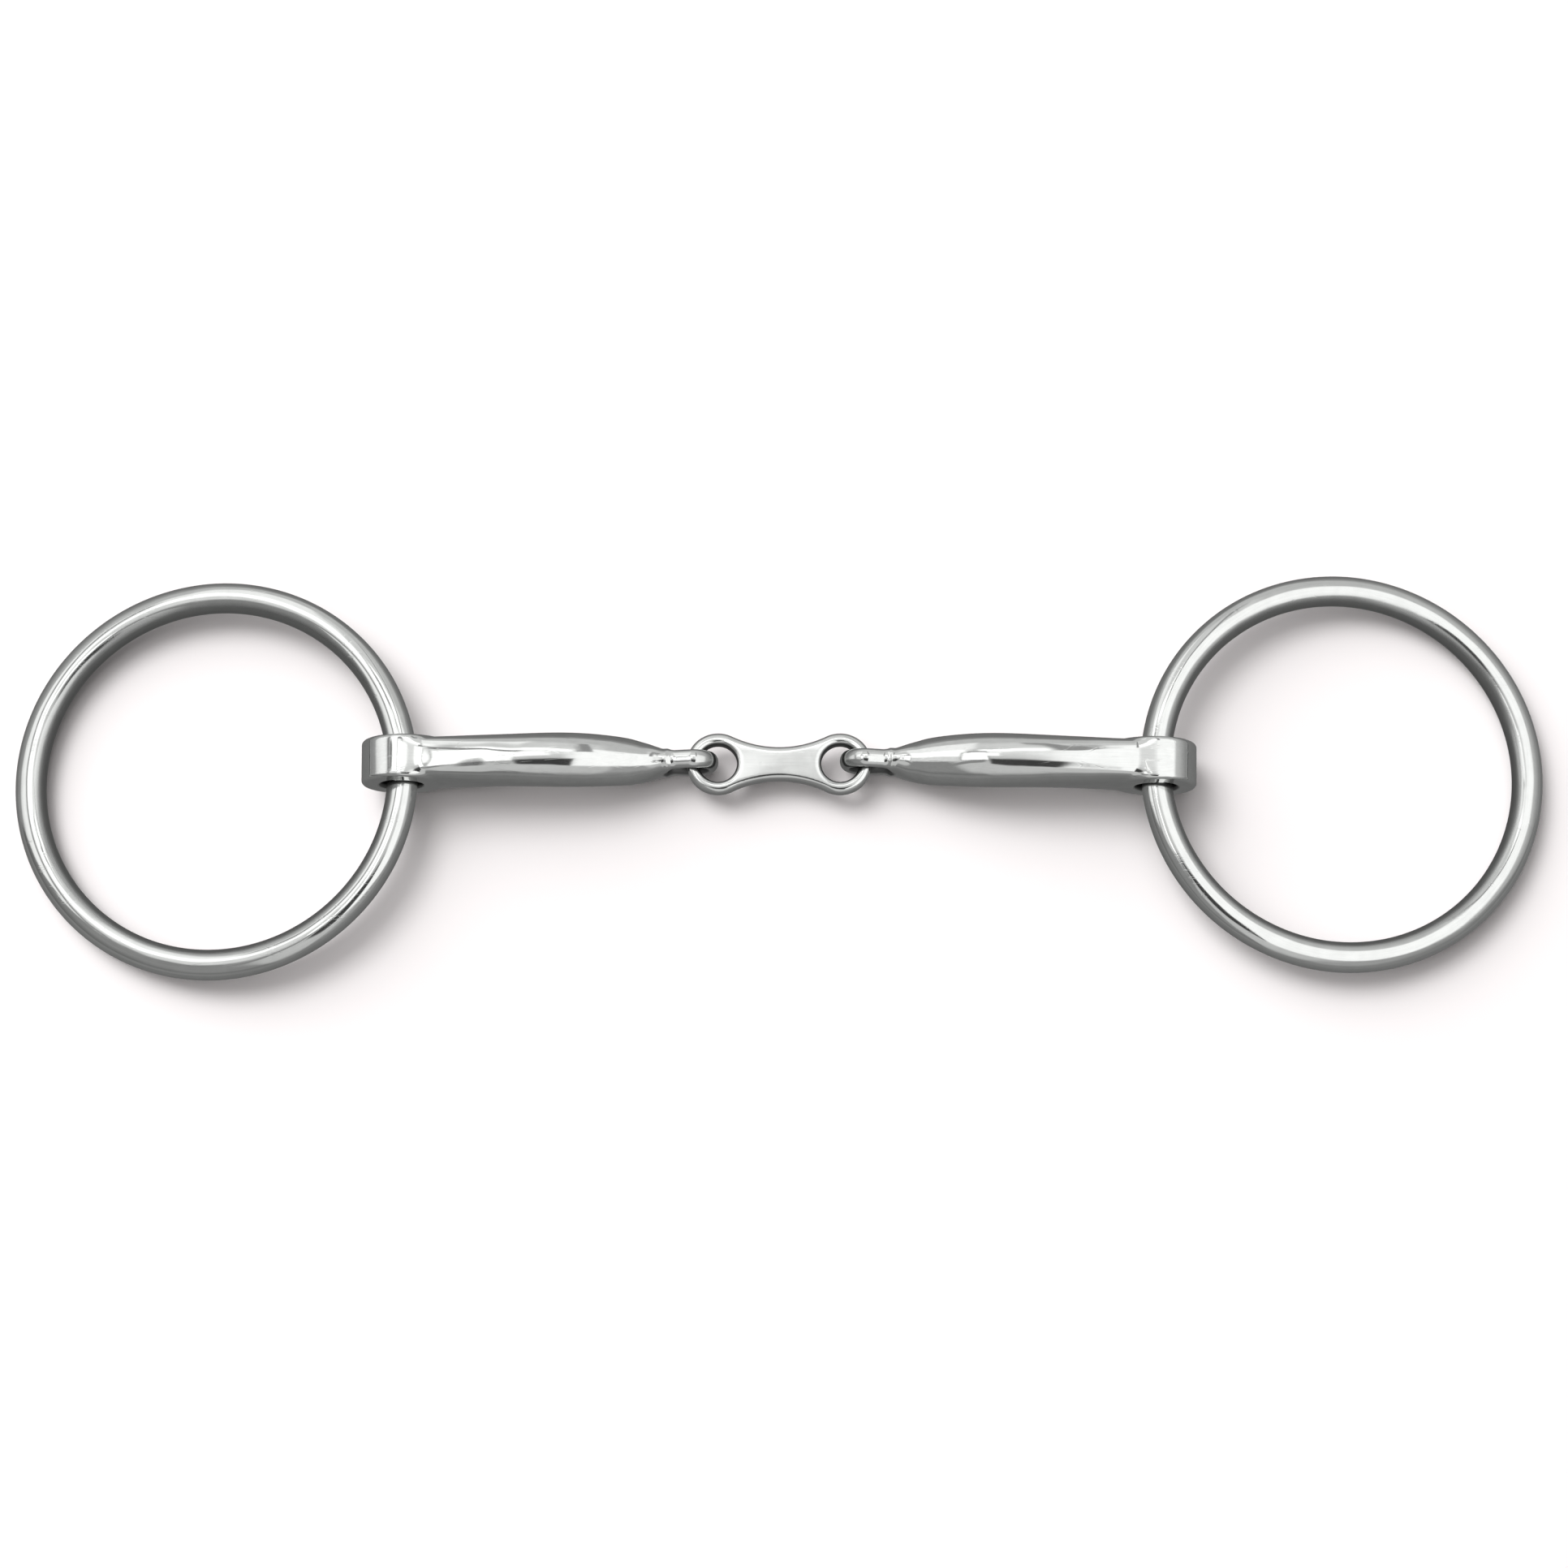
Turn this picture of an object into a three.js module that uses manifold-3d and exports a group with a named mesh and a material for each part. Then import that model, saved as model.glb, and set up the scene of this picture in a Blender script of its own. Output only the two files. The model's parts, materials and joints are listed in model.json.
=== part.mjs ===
// A loose-ring, double-jointed (French-link) snaffle bit in polished stainless steel, lying flat.
//
// Millimetres, +Z up. X runs along the mouthpiece from the left ring to the right ring, Y runs across it, and the
// origin is the middle of the footprint on the surface that the bit lies on. Five solids are threaded through each
// other like a chain: left_ring, left_arm, french_link, right_arm and right_ring.
import * as THREE from "three";
import { mergeVertices } from "three/addons/utils/BufferGeometryUtils.js";
import Module from "manifold-3d";

const DEGREES = Math.PI / 180;

// Rings: round bar bent to a circle.
const WIRE_RADIUS = 2.65;
const RING_RADIUS = 32.6; // of the bar's centreline
const RING_STEPS = 72;
const WIRE_SIDES = 12;

// Centre link: a flat plate with a round lobe and a hole at each end.
const LINK_THICKNESS = 3.4;
const LOBE_RADIUS = 5.4;
const LINK_HOLE_RADIUS = 3.3;
const LINK_HOLE_X = 10.6;
const LINK_WAIST = 2.9; // half-width at the middle
const LINK_EDGE = 0.7; // rounding of its edges, seen from above
const LINK_EDGE_DEPTH = 0.9;
const LINK_Y = 2.1; // the link lies this far behind the middle of the footprint

// Eye of an arm: a loop that stands upright and holds the rim of the link's hole.
const RIM_X = LINK_HOLE_X + (LINK_HOLE_RADIUS + LOBE_RADIUS) / 2; // middle of the rim that the eye turns about
const EYE_RADIUS = 4.4; // outside, and also the height of the rim above the surface
const EYE_HOLE_RADIUS = 2.1;
const EYE_HOLE_OUTER_RADIUS = 1.3; // the hole narrows to this away from the rim
const EYE_HOLE_LENGTH = 3.1; // between the centres of its two round ends
const EYE_WIDTH = 3.2;
const EYE_EDGE = 0.8;
const EYE_EDGE_DEPTH = 1.0;
const EYE_ROOT_RADIUS = 3.6; // the eye's round outer end, hidden in the cannon
const EYE_ROOT_LENGTH = 5.4;

// Butt: the short drum at the outer end of an arm, bored across for the ring.
const BUTT_X = 50.2; // from the rim to the bore
const BUTT_RADIUS = 7;
const BUTT_WIDTH = 7.6;
const BUTT_EDGE = 0.6;
const BORE_RADIUS = 3.5;
const BORE_FLARE = 0.6; // how far the bore's mouths open out, and how deep

// Cannon: the body of an arm, from the bore (along = 0) to the root of the eye. Each station gives the half-width
// across, the half-height, the height of its centre, and how boxy the section is (2 is an ellipse).
const CANNON = [
  { along: -0.5, width: 3.7, height: 6.5, centre: 7.0, box: 6 },
  { along: 5, width: 3.75, height: 6.4, centre: 7.3, box: 4.5 },
  { along: 12, width: 4.1, height: 5.7, centre: 8.0, box: 3 },
  { along: 20, width: 4.4, height: 5.2, centre: 8.4, box: 2.4 },
  { along: 29, width: 4.65, height: 4.9, centre: 8.0, box: 2.1 },
  { along: 37, width: 4.25, height: 4.6, centre: 6.4, box: 2.1 },
  { along: 42, width: 3.2, height: 4.2, centre: 4.9, box: 2.2 },
  { along: 45, width: 1.5, height: 3.7, centre: 4.4, box: 2.4 },
];
const CANNON_STEPS = 26;
const CANNON_SIDES = 28;

// How each side lies. The loose joints leave an arm a little turned and shifted in the link's hole, and a ring a
// little turned in its bore. Angles are anticlockwise, seen from above.
const SIDES = [
  { name: "left", turn: 180 * DEGREES, yaw: 0.9 * DEGREES, shift: 0.3, skew: 3.2 * DEGREES },
  { name: "right", turn: 0, yaw: -1.6 * DEGREES, shift: 0.5, skew: 0.5 * DEGREES },
];

const wasm = await Module();
wasm.setup();

// A closed geometry as a manifold-3d solid.
function solidOf(geometry) {
  geometry.deleteAttribute("normal");
  geometry.deleteAttribute("uv");
  const merged = mergeVertices(geometry, 1e-4);
  const vertProperties = merged.attributes.position.array;
  const triVerts = new Uint32Array(merged.index.array);
  return new wasm.Manifold(new wasm.Mesh({ numProp: 3, vertProperties, triVerts }));
}

// A manifold-3d solid as a three.js geometry.
function geometryOf(solid) {
  const mesh = solid.getMesh();
  const geometry = new THREE.BufferGeometry();
  geometry.setAttribute("position", new THREE.BufferAttribute(mesh.vertProperties, mesh.numProp));
  geometry.setIndex(new THREE.BufferAttribute(mesh.triVerts, 1));
  geometry.computeVertexNormals();
  return geometry;
}

// A flat outline in X and Y, given a thickness along Z about the middle, with rounded edges.
function plate(outline, thickness, edge, edgeDepth) {
  const depth = thickness - 2 * edgeDepth;
  const geometry = new THREE.ExtrudeGeometry(outline, {
    depth,
    curveSegments: 10,
    bevelSegments: 2,
    bevelSize: edge,
    bevelOffset: -edge,
    bevelThickness: edgeDepth,
  });
  return geometry.translate(0, 0, -depth / 2);
}

// The outline round a circle at the origin and a smaller one at (length, 0).
function taperedOutline(path, radius, endRadius, length) {
  const touch = Math.acos((radius - endRadius) / length);
  path.absarc(0, 0, radius, touch, 2 * Math.PI - touch, false);
  path.absarc(length, 0, endRadius, -touch, touch, false);
  path.closePath();
  return path;
}

// A drum about the Y axis with rounded rims.
function drum(radius, halfWidth, edge) {
  const profile = [new THREE.Vector2(0, -halfWidth)];
  const roundedCorner = (y, from) =>
    new THREE.EllipseCurve(radius - edge, y, edge, edge, from, from + 90 * DEGREES).getPoints(3);
  profile.push(...roundedCorner(edge - halfWidth, -90 * DEGREES));
  profile.push(...roundedCorner(halfWidth - edge, 0));
  profile.push(new THREE.Vector2(0, halfWidth));
  return new THREE.LatheGeometry(profile, 40);
}

// What the bore removes: a round hole about the Y axis whose mouths open out at 45 degrees.
function boreCutter() {
  const neck = BUTT_WIDTH / 2 - BORE_FLARE;
  const reach = 2 * BORE_FLARE; // past the start of each flare, so that the cutter runs out of the drum
  const profile = [
    [0, -neck - reach],
    [BORE_RADIUS + reach, -neck - reach],
    [BORE_RADIUS, -neck],
    [BORE_RADIUS, neck],
    [BORE_RADIUS + reach, neck + reach],
    [0, neck + reach],
  ];
  return new THREE.LatheGeometry(profile.map(([r, y]) => new THREE.Vector2(r, y)), 32);
}

// The cannon, as a cylinder whose rings of vertices are moved out to the stations' sections.
function cannon() {
  const alongs = CANNON.map((station) => station.along);
  const sizes = CANNON.flatMap(({ width, height, centre, box }) => [width, height, centre, box]);
  const sectionAt = new THREE.CubicInterpolant(alongs, sizes, 4);
  const geometry = new THREE.CylinderGeometry(1, 1, 1, CANNON_SIDES, CANNON_STEPS);
  const points = geometry.attributes.position;
  for (let i = 0; i < points.count; i++) {
    const along = THREE.MathUtils.mapLinear(points.getY(i), -0.5, 0.5, alongs[0], alongs.at(-1));
    const [width, height, centre, box] = sectionAt.evaluate(along);
    const bulge = (cosine) => Math.sign(cosine) * Math.abs(cosine) ** (2 / box);
    const across = width * bulge(points.getX(i));
    const up = centre + height * bulge(points.getZ(i));
    points.setXYZ(i, BUTT_X - along, across, up);
  }
  return geometry;
}

// The eye: an upright plate in X and Z whose hole holds the link's rim.
function eye() {
  const outline = taperedOutline(new THREE.Shape(), EYE_RADIUS, EYE_ROOT_RADIUS, EYE_ROOT_LENGTH);
  const hole = taperedOutline(new THREE.Path(), EYE_HOLE_RADIUS, EYE_HOLE_OUTER_RADIUS, EYE_HOLE_LENGTH);
  outline.holes.push(hole);
  const upright = plate(outline, EYE_WIDTH, EYE_EDGE, EYE_EDGE_DEPTH).rotateX(90 * DEGREES);
  return upright.translate(0, 0, EYE_RADIUS);
}

// An arm of the mouthpiece. Its own origin is under the rim that its eye holds, and +X points to its butt.
function arm() {
  const butt = drum(BUTT_RADIUS, BUTT_WIDTH / 2, BUTT_EDGE).translate(BUTT_X, 0, BUTT_RADIUS);
  const bore = boreCutter().translate(BUTT_X, 0, BUTT_RADIUS);
  const casting = solidOf(cannon()).add(solidOf(eye())).add(solidOf(butt));
  return geometryOf(casting.subtract(solidOf(bore)));
}

// The centre link, lying flat about its own middle: two round lobes, and waist arcs that touch them.
function link() {
  const narrowing = LOBE_RADIUS - LINK_WAIST;
  const arcY = (LINK_HOLE_X ** 2 - narrowing ** 2) / (2 * narrowing);
  const arcRadius = arcY - LINK_WAIST;
  const touch = Math.atan2(arcY, LINK_HOLE_X);
  const outline = new THREE.Shape();
  outline.absarc(LINK_HOLE_X, 0, LOBE_RADIUS, touch - Math.PI, Math.PI - touch, false);
  outline.absarc(0, arcY, arcRadius, -touch, touch - Math.PI, true);
  outline.absarc(-LINK_HOLE_X, 0, LOBE_RADIUS, touch, -touch, false);
  outline.absarc(0, -arcY, arcRadius, Math.PI - touch, touch, true);
  for (const side of [-1, 1]) {
    outline.holes.push(new THREE.Path().absarc(side * LINK_HOLE_X, 0, LINK_HOLE_RADIUS, 0, 2 * Math.PI));
  }
  return plate(outline, LINK_THICKNESS, LINK_EDGE, LINK_EDGE_DEPTH);
}

function ring() {
  return new THREE.TorusGeometry(RING_RADIUS, WIRE_RADIUS, WIRE_SIDES, RING_STEPS);
}

function steelMesh(name, geometry, color, roughness) {
  const mesh = new THREE.Mesh(geometry, new THREE.MeshStandardMaterial({ color, roughness, metalness: 1 }));
  mesh.name = name;
  return mesh;
}

// The ring hangs in the bore and its far side rests on the surface, so it slopes down away from the butt.
function ringGroup({ name, skew }) {
  const mesh = steelMesh(`${name}_ring`, ring(), 0xc9cbcb, 0.12);
  mesh.position.x = RING_RADIUS;
  const group = new THREE.Group().add(mesh);
  const slope = Math.asin((BUTT_RADIUS - WIRE_RADIUS) / (2 * RING_RADIUS));
  group.rotation.set(0, slope, skew, "ZYX");
  group.position.set(BUTT_X, 0, BUTT_RADIUS);
  return group;
}

function sideGroup(side) {
  const group = new THREE.Group();
  group.add(steelMesh(`${side.name}_arm`, arm(), 0xcdcfcf, 0.1), ringGroup(side));
  const outward = Math.cos(side.turn);
  group.position.set(outward * RIM_X, LINK_Y + side.shift, 0);
  group.rotation.z = side.turn + side.yaw;
  return group;
}

function snaffleBit() {
  const middle = steelMesh("french_link", link(), 0xd4d6d6, 0.16);
  middle.position.set(0, LINK_Y, EYE_RADIUS);
  return new THREE.Group().add(middle, ...SIDES.map(sideGroup));
}

export default snaffleBit();
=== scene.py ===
"""The looks of a loose-ring French-link snaffle bit in polished stainless steel, lying on a white table.

Sizes are in millimetres, as in the design, and become metres when a mesh is made. The arms and the link start
from their solids in the frame. Their surfaces are then drawn onto exact, rounded forms, written below as
distances: how far a point lies outside the steel. The rings are made afresh as round bar. Places and driving
sizes come from the frame's boxes and joints.
"""

import json
import math

import bpy
import numpy as np
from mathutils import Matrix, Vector


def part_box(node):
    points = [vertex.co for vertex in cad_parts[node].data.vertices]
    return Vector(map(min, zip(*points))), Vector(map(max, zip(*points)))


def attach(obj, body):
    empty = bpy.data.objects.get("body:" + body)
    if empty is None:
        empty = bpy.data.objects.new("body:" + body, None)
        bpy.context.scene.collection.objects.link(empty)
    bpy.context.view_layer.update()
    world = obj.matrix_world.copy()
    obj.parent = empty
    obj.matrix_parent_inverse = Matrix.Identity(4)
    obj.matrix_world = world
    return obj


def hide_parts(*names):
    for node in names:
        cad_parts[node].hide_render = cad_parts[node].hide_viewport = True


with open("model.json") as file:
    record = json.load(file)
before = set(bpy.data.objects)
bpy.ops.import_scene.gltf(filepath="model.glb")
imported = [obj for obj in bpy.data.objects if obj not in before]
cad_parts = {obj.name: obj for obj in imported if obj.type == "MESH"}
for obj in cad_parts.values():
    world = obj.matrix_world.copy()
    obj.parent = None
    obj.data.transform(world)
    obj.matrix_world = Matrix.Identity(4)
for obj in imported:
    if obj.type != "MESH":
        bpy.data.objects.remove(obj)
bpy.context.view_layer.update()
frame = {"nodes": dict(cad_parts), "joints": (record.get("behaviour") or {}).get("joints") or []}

MM = 0.001
UP = np.array([0.0, 0.0, 1.0])
JOINTS = {joint["name"]: joint for joint in frame["joints"]}

# ---------------------------------------------------------------- camera

CAMERA_ELEVATION = math.radians(77)
CAMERA_DISTANCE = 600
VIEW_WIDTH = 272  # of what the picture shows at the object
SENSOR_WIDTH = 36
LOOK_AT = (0.85, -1.4, 4.4)


def add_camera():
    data = bpy.data.cameras.new("camera")
    data.sensor_width = SENSOR_WIDTH
    data.lens = SENSOR_WIDTH * CAMERA_DISTANCE / VIEW_WIDTH
    camera = bpy.data.objects.new("camera", data)
    bpy.context.scene.collection.objects.link(camera)
    back = Vector((0, -math.cos(CAMERA_ELEVATION), math.sin(CAMERA_ELEVATION)))
    camera.location = (Vector(LOOK_AT) + back * CAMERA_DISTANCE) * MM
    camera.rotation_euler = back.to_track_quat("Z", "Y").to_euler()
    bpy.context.scene.camera = camera


# ---------------------------------------------------------------- node helpers


class Nodes:
    """Makes and links the nodes of one material or world."""

    def __init__(self, owner):
        owner.use_nodes = True
        self.tree = owner.node_tree
        self.tree.nodes.clear()

    def add(self, kind, inputs=None, **settings):
        node = self.tree.nodes.new("ShaderNode" + kind)
        for name, value in settings.items():
            setattr(node, name, value)
        for key, value in (inputs or {}).items():
            self.feed(node.inputs[key], value)
        return node

    def feed(self, socket, value):
        if isinstance(value, bpy.types.NodeSocket):
            self.tree.links.new(value, socket)
        else:
            socket.default_value = value

    def attribute(self, name, output="Fac"):
        return self.add("Attribute", attribute_name=name).outputs[output]

    def math(self, operation, *values):
        return self.add("Math", dict(enumerate(values)), operation=operation).outputs[0]

    def ramp(self, value, start, end, low=0.0, high=1.0, smooth=True):
        """value from start to end, turned into low to high."""
        inputs = {"Value": value, "From Min": start, "From Max": end, "To Min": low, "To Max": high}
        kind = "SMOOTHSTEP" if smooth else "LINEAR"
        return self.add("MapRange", inputs, interpolation_type=kind).outputs["Result"]

    def mix(self, share, low, high):
        """low where share is 0, high where it is 1."""
        return self.add("Mix", {0: share, 2: low, 3: high}).outputs[0]

    def blend(self, share, low, high):
        """The colour low where share is 0, high where it is 1."""
        return self.add("MixRGB", {"Fac": share, "Color1": low, "Color2": high}).outputs[0]

    def bump(self, height, strength, size, normal=None, **settings):
        """The normal of a surface with bumps of the given size in millimetres, on top of another normal."""
        inputs = {"Height": height, "Strength": strength, "Distance": size * MM}
        if normal is not None:
            inputs["Normal"] = normal
        return self.add("Bump", inputs, **settings).outputs[0]

    def noise(self, vector, scale, detail=2.0, turn=None):
        inputs = {"Vector": vector, "Scale": scale, "Detail": detail}
        if turn is None:
            return self.add("TexNoise", inputs).outputs["Fac"]
        return self.add("TexNoise", {**inputs, "W": turn}, noise_dimensions="4D").outputs["Fac"]


# ---------------------------------------------------------------- steel

# Attributes of a mesh that the steel is made with.
FLOW = "flow"  # place on the piece in millimetres, squeezed along the direction that it was polished in
TURN = "turn"  # a fourth coordinate, which tells the two sides of a ring's bar apart
DULL_AND_PAINTED_SHADE = "dull_and_painted_shade"  # painted shade, with dulling: 1 inside a hole, less at an eye's bend and a ring's inside, 0 elsewhere

FLOW_SQUEEZE = 0.05
PAINTED_SHADE = 0.18  # of the polished steel's colour, where the painted shade is full
CLOUD_SHADE = 0.93  # the same, in the darker places of the polished steel

# What each of these adds to the roughness.
STREAKS_DULL = 0.05
CLOUDS_DULL = 0.04
SCRATCHES_DULL = 0.15
DULL_WHERE_SHADED = 0.35

# How fine each pattern is. The first two repeat about so often in a metre, the others in a millimetre.
WAVE_SCALE = 95
CLOUD_SCALE = 420
LINE_SCALE = 3.2
STREAK_SCALE = 1.1

# The part of each pattern's range over which it goes from nothing to full.
STREAK_RANGE = (0.6, 0.72)
CLOUD_RANGE = (0.35, 0.75)
TONE_RANGE = (0.35, 0.65)
SCRATCH_GAPS_RANGE = (0.5, 0.62)

# Heights of the bumps, in millimetres, and how strongly the polishing lines show.
WAVE_HEIGHT = 0.6
LINE_HEIGHT = 0.02
SCRATCH_DEPTH = 0.02
LINE_STRENGTH = 0.12


def polished_steel(name, colour, roughness, wave, hairlines):
    """Mirror-polished steel with the slow waves of hand polishing, fine polishing lines, hairlines, and
    painted shade with dulling where its mesh asks for it.
    """
    material = bpy.data.materials.new(name)
    nodes = Nodes(material)
    place = nodes.add("TexCoord").outputs["Object"]
    flow = nodes.attribute(FLOW, "Vector")
    turn = nodes.attribute(TURN)
    dull_and_painted_shade = nodes.attribute(DULL_AND_PAINTED_SHADE)

    waves = nodes.noise(place, WAVE_SCALE, detail=1.0)
    clouds = nodes.noise(place, CLOUD_SCALE, detail=4.0)
    lines = nodes.noise(flow, LINE_SCALE, detail=5.0, turn=turn)
    streaks = nodes.ramp(nodes.noise(flow, STREAK_SCALE, detail=3.0, turn=turn), *STREAK_RANGE)
    scratches = hairline_scratches(nodes, place)

    dull = nodes.math("MULTIPLY_ADD", streaks, STREAKS_DULL, roughness)
    dull = nodes.math("MULTIPLY_ADD", nodes.ramp(clouds, *CLOUD_RANGE), CLOUDS_DULL, dull)
    dull = nodes.math("MULTIPLY_ADD", scratches, SCRATCHES_DULL * hairlines, dull)
    dull = nodes.math("MULTIPLY_ADD", dull_and_painted_shade, DULL_WHERE_SHADED, dull)

    tone = nodes.math("MULTIPLY_ADD", clouds, 0.5, nodes.math("MULTIPLY", lines, 0.5))
    shade = nodes.blend(nodes.ramp(tone, *TONE_RANGE), darker(colour, CLOUD_SHADE), colour)
    # Painted shade: the colour darkens as the mesh's hole attribute rises, in the bores, the holes, an eye's
    # bend and a ring's inside.
    shade = nodes.blend(dull_and_painted_shade, shade, darker(colour, PAINTED_SHADE))

    normal = nodes.bump(waves, wave, WAVE_HEIGHT)
    normal = nodes.bump(lines, LINE_STRENGTH, LINE_HEIGHT, normal)
    normal = nodes.bump(scratches, hairlines, SCRATCH_DEPTH, normal, invert=True)

    look = {"Base Color": shade, "Metallic": 1.0, "Roughness": dull, "Normal": normal}
    surface = nodes.add("BsdfPrincipled", look)
    nodes.add("OutputMaterial", {"Surface": surface.outputs[0]})
    return material


# Hairline scratches run along the edges of long cells, in two sets that cross. For each set: how far it is
# turned, and how many cells it has to the metre along each of its axes.
SCRATCH_SETS = ((0.5, (60, 420, 200)), (-0.9, (80, 520, 240)))
SCRATCH_TILT = (0.3, 0.2)
SCRATCH_WIDTH = 0.018  # as a share of a cell
SCRATCH_GAPS_SCALE = 260


def hairline_scratches(nodes, place):
    """Thin lines in two crossing directions, mostly broken up."""
    gaps = nodes.ramp(nodes.noise(place, SCRATCH_GAPS_SCALE), *SCRATCH_GAPS_RANGE)
    found = None
    for turn, scale in SCRATCH_SETS:
        mapping = {"Vector": place, "Rotation": (*SCRATCH_TILT, turn), "Scale": scale}
        turned = nodes.add("Mapping", mapping).outputs[0]
        cells = nodes.add("TexVoronoi", {"Vector": turned, "Scale": 1.0}, feature="DISTANCE_TO_EDGE")
        line = nodes.ramp(cells.outputs["Distance"], 0.0, SCRATCH_WIDTH, 1.0, 0.0)
        broken = nodes.math("MULTIPLY", line, gaps)
        found = broken if found is None else nodes.math("MAXIMUM", found, broken)
    return found


def darker(colour, share):
    return tuple(c * share for c in colour[:3]) + (1.0,)


# ---------------------------------------------------------------- forms, as distances in mm


def joined(a, b, blend):
    """The union of two forms, with a fillet of about blend where they meet."""
    near = np.maximum(blend - np.abs(a - b), 0) / blend
    return np.minimum(a, b) - near**2 * blend / 4


def cut_from(body, hole, blend):
    """body without hole, with the rims of the cut rounded."""
    return -joined(-body, hole, blend)


def slab(outline, across, half_width, edge):
    """A flat outline given a thickness, with edges rounded to the radius edge."""
    out = outline + edge
    over = np.abs(across) - half_width + edge
    outside = np.hypot(np.maximum(out, 0), np.maximum(over, 0))
    return np.minimum(np.maximum(out, over), 0) + outside - edge


def tapered_outline(x, y, radius, end_radius, length):
    """Round a circle at the origin and a smaller one at (length, 0)."""
    sine = (radius - end_radius) / length
    cosine = math.sqrt(1 - sine**2)
    y = np.abs(y)
    along = cosine * x - sine * y
    flank = sine * x + cosine * y - radius
    start = np.hypot(x, y) - radius
    end = np.hypot(x - length, y) - end_radius
    return np.where(along < 0, start, np.where(along > length * cosine, end, flank))


def fade(value, start, end):
    """0 at start and 1 at end, smoothly."""
    share = np.clip((value - start) / (end - start), 0, 1)
    return share**2 * (3 - 2 * share)


class Spline:
    """A natural cubic spline through a table's rows. The first column is where each row holds."""

    def __init__(self, rows):
        table = np.array(rows, float)
        self.at, self.rows = table[:, 0], table[:, 1:]
        gap = np.diff(self.at)
        count = len(self.at)
        matrix, target = np.eye(count), np.zeros_like(self.rows)
        for i in range(1, count - 1):
            matrix[i, i - 1 : i + 2] = gap[i - 1], 2 * (gap[i - 1] + gap[i]), gap[i]
            slope_after = (self.rows[i + 1] - self.rows[i]) / gap[i]
            slope_before = (self.rows[i] - self.rows[i - 1]) / gap[i - 1]
            target[i] = 6 * (slope_after - slope_before)
        self.bend = np.linalg.solve(matrix, target)

    def __call__(self, at):
        at = np.clip(at, self.at[0], self.at[-1])
        i = np.clip(np.searchsorted(self.at, at) - 1, 0, len(self.at) - 2)
        gap = (self.at[i + 1] - self.at[i])[:, None]
        right = (at - self.at[i])[:, None] / gap
        left = 1 - right
        curve = (left**3 - left) * self.bend[i] + (right**3 - right) * self.bend[i + 1]
        return (left * self.rows[i] + right * self.rows[i + 1] + curve * gap**2 / 6).T


# ---------------------------------------------------------------- arm

EYE_HOLE_RADIUS = 2.1
EYE_HOLE_OUTER_RADIUS = 1.3
EYE_HOLE_LENGTH = 3.1
EYE_HALF_WIDTH = 1.6
EYE_ROOT_RADIUS = 3.6
EYE_ROOT_LENGTH = 5.4
EYE_FILLET = 2.2
EYE_BEND_SHADE = 0.35  # how much painted shade, with dulling, its bend gets where it sits in the link's hole
EYE_BEND_SHADE_REACH = (0.5, -3.5)  # along the arm, from where there is none to where it is full
EYE_SHADE_RIM = (1.0, 0.5)  # out from the hole's edge, from where there is no painted shade to where it is full

BUTT_HALF_WIDTH = 3.8
BUTT_EDGE = 0.7
BUTT_FILLET = 0.8
BORE_RADIUS = 3.5
BORE_EDGE = 0.8
BORE_SHADE_EDGE = 0.1  # the painted shade in the bore ends so close to the butt's flat faces

# The cannon's sections, from the bore to the eye's root: place along it, half-width, half-height, height of
# the centre, and how boxy the section is (2 is an ellipse).
CANNON = Spline(
    [
        (-0.5, 3.7, 6.5, 7.0, 6),
        (5, 3.75, 6.4, 7.3, 4.5),
        (12, 4.1, 5.7, 8.0, 3),
        (20, 4.4, 5.2, 8.4, 2.4),
        (29, 4.65, 4.9, 8.0, 2.1),
        (37, 4.25, 4.6, 6.4, 2.1),
        (42, 3.2, 4.2, 4.9, 2.2),
        (45, 1.5, 3.7, 4.4, 2.4),
    ]
)


def cannon_distance(along, y, z):
    width, height, centre, box = CANNON(along)
    up = z - centre
    reach = ((np.abs(y) / width) ** box + (np.abs(up) / height) ** box) ** (1 / box)
    side = np.hypot(y, up) * (1 - 1 / np.maximum(reach, 1e-6))
    return np.maximum(side, np.maximum(CANNON.at[0] - along, along - CANNON.at[-1]))


def eye_hole(x, up):
    return tapered_outline(x, up, EYE_HOLE_RADIUS, EYE_HOLE_OUTER_RADIUS, EYE_HOLE_LENGTH)


def eye_distance(x, y, z, radius):
    up = z - radius
    outline = tapered_outline(x, up, radius, EYE_ROOT_RADIUS, EYE_ROOT_LENGTH)
    hole = eye_hole(x, up)
    half_bar = (radius - EYE_HOLE_RADIUS) / 2
    from_middle = np.maximum(np.maximum(outline, -hole) / half_bar + 1, 0)
    return half_bar * (np.hypot(from_middle, y / EYE_HALF_WIDTH) - 1)


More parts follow.
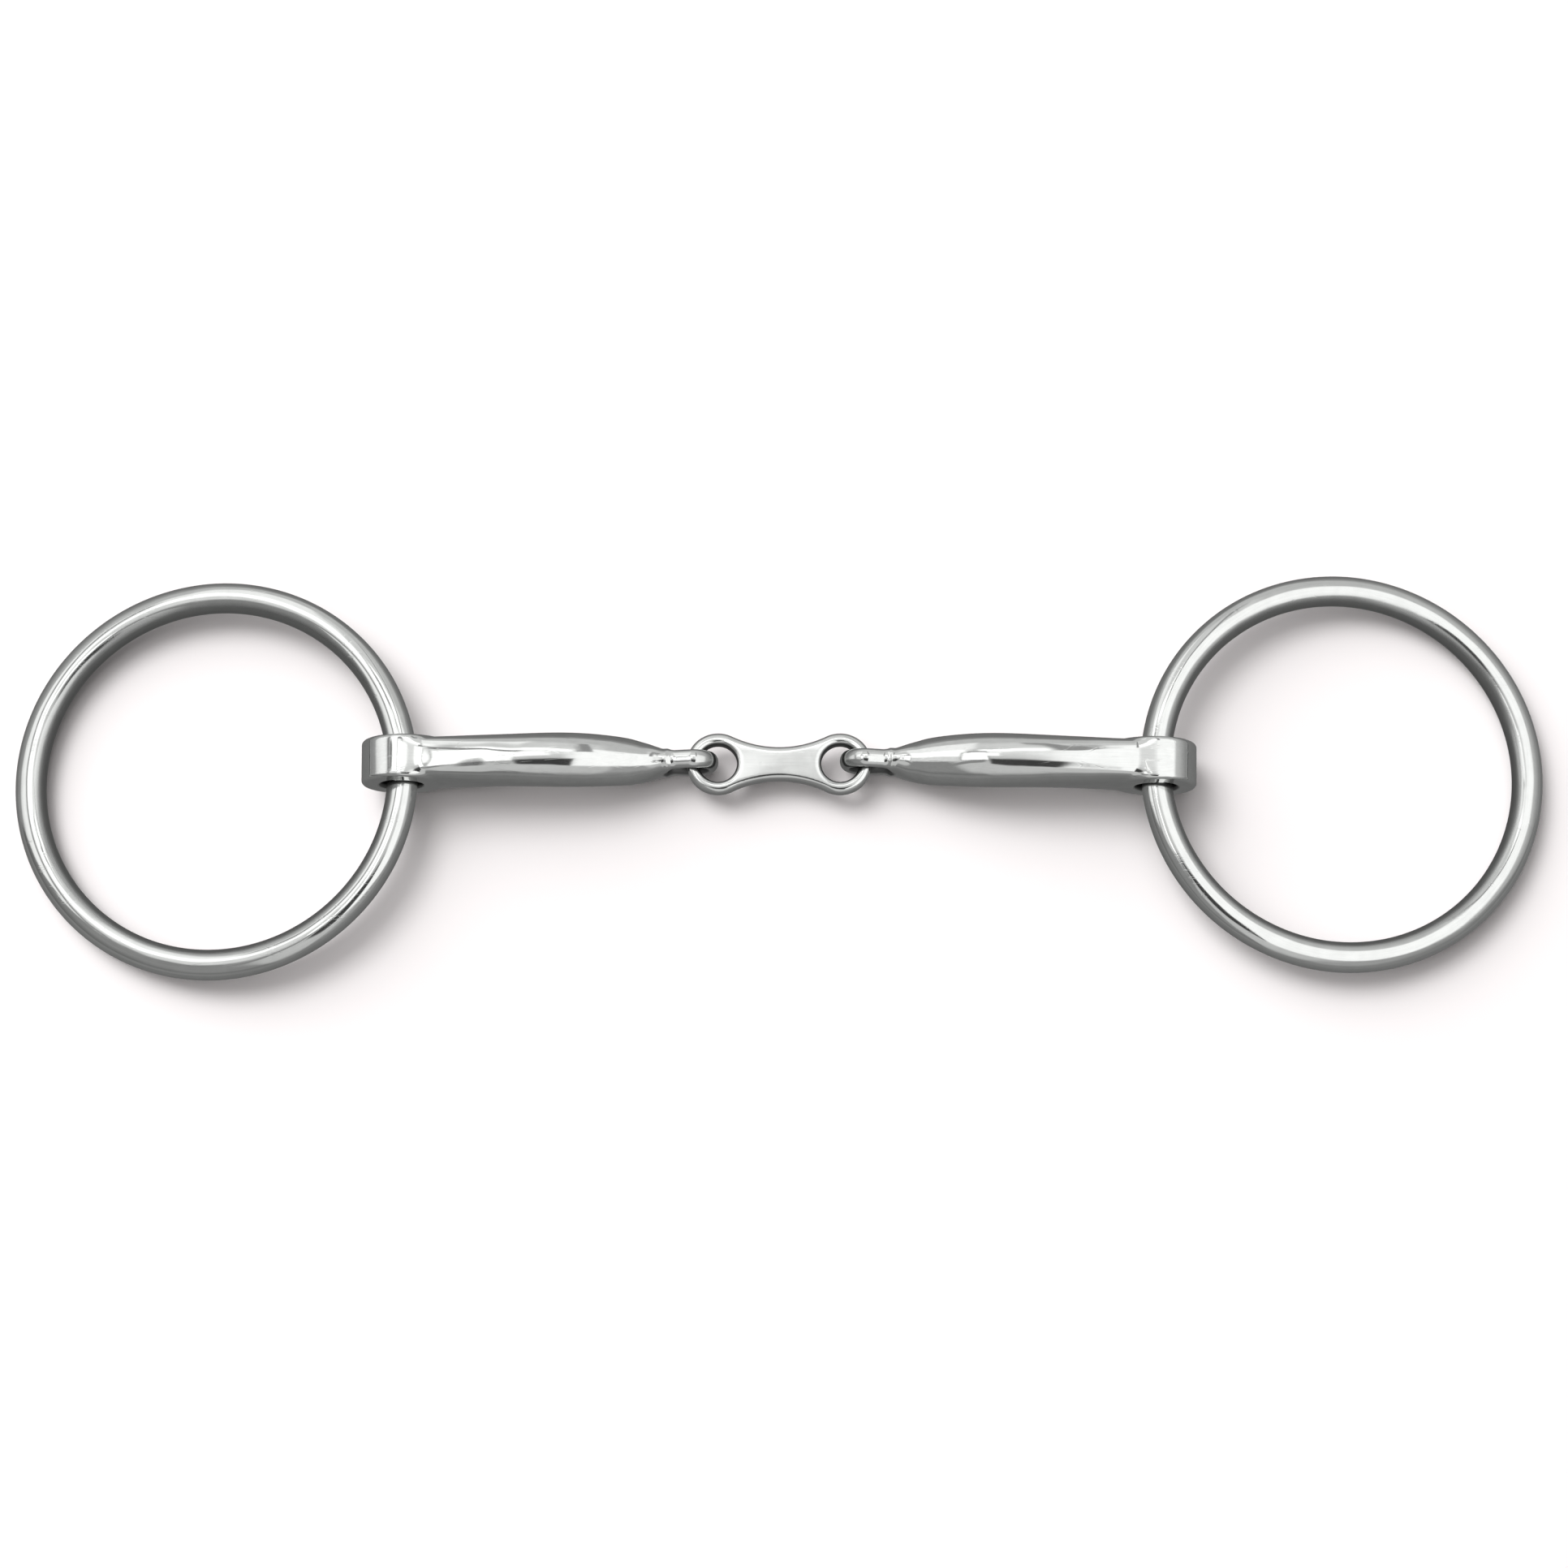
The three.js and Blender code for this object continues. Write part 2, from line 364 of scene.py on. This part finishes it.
class Arm:
    """An arm of the mouthpiece.

    Its own origin is under the rim of the link that its eye holds, and its own +X points to its butt.
    """

    def __init__(self, side):
        self.rim = np.array(JOINTS[f"{side}_fold"]["pos_m"]) / MM
        self.bore = np.array(JOINTS[f"{side}_ring_swing"]["pos_m"]) / MM
        run = self.bore[:2] - self.rim[:2]
        self.length = np.hypot(*run)
        self.along = np.array([*run / self.length, 0])
        self.across = np.cross(UP, self.along)
        self.origin = self.rim * (1, 1, 0)

    def local(self, points):
        return (points - self.origin) @ np.array([self.along, self.across, UP]).T

    def distance(self, points):
        x, y, z = self.local(points).T
        from_bore = np.hypot(x - self.length, z - self.bore[2])
        drum = slab(from_bore - self.bore[2], y, BUTT_HALF_WIDTH, BUTT_EDGE)
        cannon = cannon_distance(self.length - x, y, z)
        casting = joined(cannon, eye_distance(x, y, z, self.rim[2]), EYE_FILLET)
        casting = joined(casting, drum, BUTT_FILLET)
        return cut_from(casting, from_bore - BORE_RADIUS, BORE_EDGE)

    def flow(self, points):
        return self.local(points) * (FLOW_SQUEEZE, 1, 1)

    # Painted shade, with dulling: dark in the bore and the eye's hole, and partly dark at the eye's bend.
    def dull_and_painted_shade(self, points):
        x, y, z = self.local(points).T
        from_bore = np.hypot(x - self.length, z - self.bore[2])
        in_bore = fade(from_bore, BORE_RADIUS + BORE_EDGE, BORE_RADIUS + BORE_EDGE / 2)
        in_bore *= fade(np.abs(y), BUTT_HALF_WIDTH + BORE_SHADE_EDGE, BUTT_HALF_WIDTH - BORE_SHADE_EDGE)
        from_eye = eye_hole(x, z - self.rim[2])
        in_eye = fade(from_eye, *EYE_SHADE_RIM)
        bend_shade = EYE_BEND_SHADE * fade(x, *EYE_BEND_SHADE_REACH)
        return np.maximum(np.maximum(in_bore, in_eye), bend_shade)


# ---------------------------------------------------------------- link

LOBE_RADIUS = 5.4
LINK_HOLE_RADIUS = 3.3
LINK_WAIST = 2.9
LINK_EDGE = 0.95
LINK_CROWN = 0.012  # how much the faces fall away across the link, per square millimetre
LINK_SHADE_RIM = (0.5, 0.1)  # out from a hole's edge, from where there is no painted shade to where it is full


class Link:
    """The flat centre link: a round lobe with a hole at each end, and a waist between them."""

    def __init__(self):
        low, high = (np.array(corner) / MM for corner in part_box("french_link"))
        self.centre = (low + high) / 2
        self.half_thickness = (high[2] - low[2]) / 2
        self.hole_x = (high[0] - low[0]) / 2 - LOBE_RADIUS

    def distance(self, points):
        x, y, z = (points - self.centre).T
        x, y = np.abs(x), np.abs(y)
        narrowing = LOBE_RADIUS - LINK_WAIST
        arc_y = (self.hole_x**2 - narrowing**2) / (2 * narrowing)
        from_lobe = np.hypot(x - self.hole_x, y)
        waist = arc_y - LINK_WAIST - np.hypot(x, y - arc_y)
        on_waist = x * arc_y + y * self.hole_x < self.hole_x * arc_y
        outline = np.where(on_waist, waist, from_lobe - LOBE_RADIUS)
        crowned = np.abs(z) + LINK_CROWN * y**2
        outline = np.maximum(outline, LINK_HOLE_RADIUS - from_lobe)
        return slab(outline, crowned, self.half_thickness, LINK_EDGE)

    def flow(self, points):
        return (points - self.centre) * (FLOW_SQUEEZE, 1, 1)

    # Painted shade, with dulling: dark inside both holes and on their rims.
    def dull_and_painted_shade(self, points):
        x, y, z = (points - self.centre).T
        from_edge = np.hypot(np.abs(x) - self.hole_x, y) - LINK_HOLE_RADIUS
        return fade(from_edge, *LINK_SHADE_RIM)


# ---------------------------------------------------------------- meshes drawn onto a form

VOXEL = 0.3
RELAX_ROUNDS = 6
PROBE = 0.01
LONGEST_STEP = 0.3
LEAST_STEEPNESS = 0.05  # squared; keeps a step sane where the distance is nearly flat
TINY = 1e-9


def slope_of(distance, points):
    """Which way the distance grows fastest, and how fast."""
    steps = np.eye(3) * PROBE
    return np.stack([distance(points + s) - distance(points - s) for s in steps], axis=1) / (2 * PROBE)


def drawn_onto(distance, points, rounds=2):
    for _ in range(rounds):
        slope = slope_of(distance, points)
        steep = np.maximum((slope**2).sum(axis=1), LEAST_STEEPNESS)
        step = slope * (distance(points) / steep)[:, None]
        size = np.linalg.norm(step, axis=1, keepdims=True)
        points = points - step * np.minimum(1, LONGEST_STEP / np.maximum(size, TINY))
    return points


def relaxed(distance, points, edges):
    """Evens out the mesh: each vertex slides along the surface to the middle of its neighbours."""
    first, second = edges.T
    count = np.bincount(edges.ravel(), minlength=len(points))[:, None]
    total = np.zeros_like(points)
    np.add.at(total, first, points[second])
    np.add.at(total, second, points[first])
    slope = slope_of(distance, points)
    normal = slope / np.maximum(np.linalg.norm(slope, axis=1, keepdims=True), TINY)
    move = total / count - points
    move -= normal * (move * normal).sum(axis=1, keepdims=True)
    return drawn_onto(distance, points + move, rounds=1)


def even_copy(node, name):
    """A new object with the node's solid, remade in small even faces."""
    piece = bpy.data.objects.new(name, frame["nodes"][node].data.copy())
    bpy.context.scene.collection.objects.link(piece)
    remesh = piece.modifiers.new("even", "REMESH")
    remesh.mode = "VOXEL"
    remesh.voxel_size = VOXEL * MM
    bpy.context.view_layer.update()
    evaluated = piece.evaluated_get(bpy.context.evaluated_depsgraph_get())
    mesh = bpy.data.meshes.new_from_object(evaluated)
    piece.modifiers.clear()
    piece.data = mesh
    return piece


def sculpted(node, name, form):
    """The node's solid with its surface drawn onto the form."""
    piece = even_copy(node, name)
    mesh = piece.data
    points = np.empty(len(mesh.vertices) * 3)
    mesh.vertices.foreach_get("co", points)
    points = points.reshape(-1, 3) / MM
    edges = np.empty(len(mesh.edges) * 2, int)
    mesh.edges.foreach_get("vertices", edges)
    edges = edges.reshape(-1, 2)
    points = drawn_onto(form.distance, points)
    for _ in range(RELAX_ROUNDS):
        points = relaxed(form.distance, points, edges)
    points = drawn_onto(form.distance, points)
    mesh.vertices.foreach_set("co", (points * MM).ravel())
    mesh.shade_smooth()
    set_finish(mesh, form.flow(points), np.zeros(len(points)), form.dull_and_painted_shade(points))
    return piece


def set_finish(mesh, flow, turn, dull_and_painted_shade):
    mesh.attributes.new(FLOW, "FLOAT_VECTOR", "POINT").data.foreach_set("vector", flow.ravel())
    mesh.attributes.new(TURN, "FLOAT", "POINT").data.foreach_set("value", turn)
    mesh.attributes.new(DULL_AND_PAINTED_SHADE, "FLOAT", "POINT").data.foreach_set("value", dull_and_painted_shade)


# ---------------------------------------------------------------- rings

RING_STEPS = 288
BAR_SIDES = 40
RING_INSIDE_SHADE = 0.6  # how much painted shade, with dulling, the inside of a ring gets
RING_INSIDE_SHADE_REACH = (0.3, 0.8)  # cosines of the angle from facing inwards, from where there is none to where it is full


def ring_faces():
    """The corners of each face. Vertices are numbered round the bar first and then round the ring."""

    def corner(i, j):
        return (i % RING_STEPS) * BAR_SIDES + j % BAR_SIDES

    return [
        (corner(i, j), corner(i + 1, j), corner(i + 1, j + 1), corner(i, j + 1))
        for i in range(RING_STEPS)
        for j in range(BAR_SIDES)
    ]


def ring(side):
    """Round bar bent to a circle, lying from the bore down to the table."""
    node = f"{side}_ring"
    low, high = (np.array(corner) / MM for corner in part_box(node))
    bore = np.array(JOINTS[f"{side}_ring_swing"]["pos_m"]) / MM
    centre = (low + high) / 2
    radius = np.linalg.norm(centre - bore)
    bar_radius = (high[1] - low[1]) / 2 - radius
    outward = (centre - bore) / radius
    sideways = np.cross(UP, outward)
    sideways /= np.linalg.norm(sideways)
    normal = np.cross(outward, sideways)

    round_ring = np.arange(RING_STEPS) * 2 * math.pi / RING_STEPS
    round_bar = np.arange(BAR_SIDES) * 2 * math.pi / BAR_SIDES
    u, v = (grid.ravel()[:, None] for grid in np.meshgrid(round_ring, round_bar, indexing="ij"))
    spoke = np.cos(u) * outward + np.sin(u) * sideways
    points = centre + spoke * (radius + bar_radius * np.cos(v)) + normal * bar_radius * np.sin(v)

    mesh = bpy.data.meshes.new(f"{node}_polished")
    mesh.from_pydata((points * MM).tolist(), [], ring_faces())
    mesh.shade_smooth()
    squeezed = radius * FLOW_SQUEEZE
    flow = np.hstack([squeezed * np.cos(u), squeezed * np.sin(u), bar_radius * np.cos(v)])
    turn = (bar_radius * np.sin(v)).ravel()
    inwards = -np.cos(v).ravel()
    # Painted shade on the side of the bar that faces the ring's middle.
    set_finish(mesh, flow, turn, RING_INSIDE_SHADE * fade(inwards, *RING_INSIDE_SHADE_REACH))
    piece = bpy.data.objects.new(f"{node}_polished", mesh)
    bpy.context.scene.collection.objects.link(piece)
    return piece


# ---------------------------------------------------------------- the bit


def place(piece, node, body, slot, material):
    piece.data.materials.clear()
    piece.data.materials.append(material)
    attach(piece, body)
    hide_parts(node)


def add_bit():
    ring_steel = polished_steel("ring_steel", (0.74, 0.75, 0.74, 1), roughness=0.09, wave=0.5, hairlines=0.25)
    arm_steel = polished_steel("arm_steel", (0.76, 0.77, 0.76, 1), roughness=0.06, wave=0.6, hairlines=0.2)
    link_steel = polished_steel("link_steel", (0.78, 0.79, 0.78, 1), roughness=0.1, wave=0.5, hairlines=0.25)
    link = sculpted("french_link", "french_link_polished", Link())
    place(link, "french_link", "link", "link_steel", link_steel)
    for side in ("left", "right"):
        arm = sculpted(f"{side}_arm", f"{side}_arm_polished", Arm(side))
        place(arm, f"{side}_arm", f"{side}_arm", "arm_steel", arm_steel)
        place(ring(side), f"{side}_ring", f"{side}_ring", "ring_steel", ring_steel)


# ---------------------------------------------------------------- table, lights and what the steel mirrors

WHITE = (1, 1, 1, 1)
TABLE_SIZE = 6000
TABLE_WHITE = (0.88, 0.85, 0.85, 1)
TABLE_FADE = (300, 900)  # how far out it turns into the white of the background
LIGHT_DISTANCE = 6000
# Name, direction, size in millimetres and watts.
LIGHTS = (
    ("key", (-0.42, 0.37, 0.83), 3300, 190),
    ("soft", (-0.42, 0.37, 0.83), 11400, 410),
    ("low", (-0.62, 0.56, 0.55), 5100, 170),
)
FILL = 0.18  # of the even light from all round
FILL_COLOUR = (1, 0.95, 0.95, 1)
TENT_RADIUS = 350
TENT_COLOUR = (1, 1, 0.995, 1)


def disc(name, radius, sides=64):
    mesh = bpy.data.meshes.new(name)
    turns = [2 * math.pi * i / sides for i in range(sides)]
    mesh.from_pydata([(radius * math.cos(t), radius * math.sin(t), 0) for t in turns], [], [range(sides)])
    return mesh


def add_table():
    """A matt white table that fades into the white background, and that the steel doesn't mirror."""
    material = bpy.data.materials.new("table_white")
    nodes = Nodes(material)
    matt = {"Base Color": TABLE_WHITE, "Roughness": 0.9, "Specular IOR Level": 0.1}
    near = nodes.add("BsdfPrincipled", matt)
    far = nodes.add("Emission", {"Color": WHITE, "Strength": 1.0})
    place = nodes.add("TexCoord").outputs["Object"]
    away = nodes.add("VectorMath", {0: place}, operation="LENGTH").outputs["Value"]
    start, end = TABLE_FADE
    fading = nodes.ramp(away, start * MM, end * MM)
    surface = nodes.add("MixShader", {0: fading, 1: near.outputs[0], 2: far.outputs[0]})
    nodes.add("OutputMaterial", {"Surface": surface.outputs[0]})
    table = bpy.data.objects.new("table", disc("table", TABLE_SIZE / 2 * MM))
    table.data.materials.append(material)
    bpy.context.scene.collection.objects.link(table)
    table.visible_glossy = False


def add_lights():
    """A lamp inside a large soft one, so that shadows are dark at the steel, and a low one to widen them."""
    for name, towards, size, power in LIGHTS:
        direction = Vector(towards).normalized()
        data = bpy.data.lights.new(name, "AREA")
        data.shape = "DISK"
        data.size = size * MM
        data.energy = power
        light = bpy.data.objects.new(name, data)
        light.location = direction * LIGHT_DISTANCE * MM
        light.rotation_euler = direction.to_track_quat("Z", "Y").to_euler()
        light.visible_glossy = False
        bpy.context.scene.collection.objects.link(light)


def add_world():
    """White behind everything, and an even fill light."""
    world = bpy.data.worlds.new("studio")
    bpy.context.scene.world = world
    nodes = Nodes(world)
    seen = nodes.add("LightPath").outputs["Is Camera Ray"]
    strength = nodes.ramp(seen, 0, 1, FILL, 1.0, smooth=False)
    colour = nodes.blend(seen, FILL_COLOUR, WHITE)
    back = nodes.add("Background", {"Color": colour, "Strength": strength})
    nodes.add("OutputWorld", {"Surface": back.outputs[0]})


TENT_ROOF = 0.66
TENT_WALL = 0.62
TENT_TURN = (35, 80)  # degrees from overhead, from where the tent is roof to where it is wall

# What hangs in the tent, painted one over another. Each row reaches so far to the back (low, high) and to the
# right (low, high) of overhead, in degrees, has edges that fade over so much, and is so bright. What is well
# above 1 burns out to white in the steel.
SHEETS = (
    (-85, -10, -95, -26, 6, 0.3),
    (-85, -40, 34, 95, 9, 0.42),
    (32, 62, -46, -14, 4, 1.15),
    (30, 58, -14, 24, 6, 0.82),
    (5, 33, -39, -19, 4, 1.6),
    (-16, 8, -39, -22, 5, 0.9),
)
PANES = (
    (-40, 33, 8, 55, 5, 1.3),
    (20, 29, -13, 9, 2.5, 1.75),
    (20, 58, 10.5, 16.5, 1.5, 0.35),
    (-12, 36, -47, -41.5, 1.0, 0.3),
    (-12, 40, -76, -48, 4, 1.2),
    (-13, 22, -21, -8.8, 0.8, 0.3),
    (-11, 17.5, -20, -9.8, 0.8, 1.7),
    (5, 17, -9.9, -2.2, 0.6, 1.4),
)

# The sheet overhead: its reach (low, high, edge), and its brightness from front to back (from where to where,
# and from what to what).
OVERHEAD_BACK = (-10, 22, 4)
OVERHEAD_SIDE = (-13, 8.5, 1.5)
OVERHEAD_LIGHT = (-12, 24, 0.54, 1.08)

# The gap round the camera. Its front edge is slanted, and its front and back edges fade in from one angle to
# the other.
CAMERA_GAP_SLANT = 0.6
CAMERA_GAP_FRONT = (-38, -30)
CAMERA_GAP_BACK = (-3, -11)
CAMERA_GAP_SIDE = (-9, 11.5, 1.5)
CAMERA_GAP_LIGHT = 0.06

# The rail: its width and its length (low, high, edge).
RAIL_SLANT = -1.15
RAIL_WIDTH = (-6, 5, 2)
RAIL_LENGTH = (-52, -12, 2)
RAIL_LIGHT = 0.3

# Where the light falls off, from which angle to which and from what share to what: at the front, at both
# sides, at the horizon and below it.
FRONT_DIMMING = (-66, -92, 1.0, 0.42)
SIDE_DIMMING = (56, 92, 1.0, 0.5)
HORIZON_DIMMING = (82, 102, 1.0, 0.36)
BELOW_DIMMING = (96, 165, 1.0, 0.7)


def band(nodes, angle, low, high, edge):
    """1 where angle is between low and high, fading to 0 over each edge."""
    rise = nodes.ramp(angle, low - edge, low + edge)
    fall = nodes.ramp(angle, high - edge, high + edge, 1.0, 0.0)
    return nodes.math("MULTIPLY", rise, fall)


def painted(nodes, light, back, side, patches):
    """light with the patches painted over it."""
    for back_low, back_high, side_low, side_high, edge, bright in patches:
        rows = band(nodes, back, back_low, back_high, edge)
        columns = band(nodes, side, side_low, side_high, edge)
        light = nodes.mix(nodes.math("MULTIPLY", rows, columns), light, bright)
    return light


def with_overhead_sheet(nodes, light, back, side):
    """The sheet straight above, which the link mirrors. It gets brighter towards the back."""
    rows = band(nodes, back, *OVERHEAD_BACK)
    share = nodes.math("MULTIPLY", rows, band(nodes, side, *OVERHEAD_SIDE))
    return nodes.mix(share, light, nodes.ramp(back, *OVERHEAD_LIGHT, smooth=False))


def with_camera_gap(nodes, light, back, side):
    """The dark gap round the camera."""
    slanted = nodes.math("MULTIPLY_ADD", side, CAMERA_GAP_SLANT, back)
    rows = nodes.math("MULTIPLY", nodes.ramp(slanted, *CAMERA_GAP_FRONT), nodes.ramp(back, *CAMERA_GAP_BACK))
    share = nodes.math("MULTIPLY", rows, band(nodes, side, *CAMERA_GAP_SIDE))
    return nodes.mix(share, light, CAMERA_GAP_LIGHT)


def with_rail(nodes, light, back, side):
    """A dark rail at the left of the tent, which runs backwards as it nears the middle."""
    across = nodes.math("MULTIPLY_ADD", side, RAIL_SLANT, back)
    share = nodes.math("MULTIPLY", band(nodes, across, *RAIL_WIDTH), band(nodes, side, *RAIL_LENGTH))
    return nodes.mix(share, light, RAIL_LIGHT)


def dimmed(nodes, light, back, side, height):
    """Less light at the front, at both sides, all round the horizon and below the table."""
    front = nodes.ramp(back, *FRONT_DIMMING)
    sides = nodes.ramp(nodes.math("ABSOLUTE", side), *SIDE_DIMMING)
    horizon = nodes.ramp(height, *HORIZON_DIMMING)
    below = nodes.ramp(height, *BELOW_DIMMING)
    dimmest = nodes.math("MINIMUM", nodes.math("MINIMUM", front, sides), horizon)
    return nodes.math("MULTIPLY", light, nodes.math("MULTIPLY", dimmest, below))


def tent_light(nodes, back, side, height):
    """How bright the tent is in a direction, given by its angles from overhead in degrees."""
    light = nodes.ramp(height, *TENT_TURN, TENT_ROOF, TENT_WALL)
    light = painted(nodes, light, back, side, SHEETS)
    light = with_overhead_sheet(nodes, light, back, side)
    light = painted(nodes, light, back, side, PANES)
    light = with_camera_gap(nodes, light, back, side)
    light = with_rail(nodes, light, back, side)
    return dimmed(nodes, light, back, side, height)


def add_tent():
    """The light tent round the table, which only the steel's reflections see."""
    material = bpy.data.materials.new("tent")
    nodes = Nodes(material)
    place = nodes.add("TexCoord").outputs["Object"]
    towards = nodes.add("VectorMath", {0: place}, operation="NORMALIZE")
    x, y, z = nodes.add("SeparateXYZ", {"Vector": towards.outputs[0]}).outputs
    degrees = math.degrees(1)
    # All three are 0 overhead. They are 90 at the back of the table, at its right and all round the horizon.
    back = nodes.math("MULTIPLY", nodes.math("ARCTAN2", y, z), degrees)
    side = nodes.math("MULTIPLY", nodes.math("ARCTAN2", x, z), degrees)
    height = nodes.math("MULTIPLY", nodes.math("ARCCOSINE", z), degrees)
    light = tent_light(nodes, back, side, height)
    glow = nodes.add("Emission", {"Color": TENT_COLOUR, "Strength": light})
    nodes.add("OutputMaterial", {"Surface": glow.outputs[0]})
    bpy.ops.mesh.primitive_uv_sphere_add(segments=64, ring_count=32, radius=TENT_RADIUS * MM)
    tent = bpy.context.object
    tent.name = "tent"
    tent.data.materials.append(material)
    for seen_by in ("camera", "diffuse", "transmission", "volume_scatter", "shadow"):
        setattr(tent, f"visible_{seen_by}", False)


add_camera()
bpy.context.scene.view_settings.view_transform = "Standard"
add_bit()
add_table()
add_lights()
add_world()
add_tent()
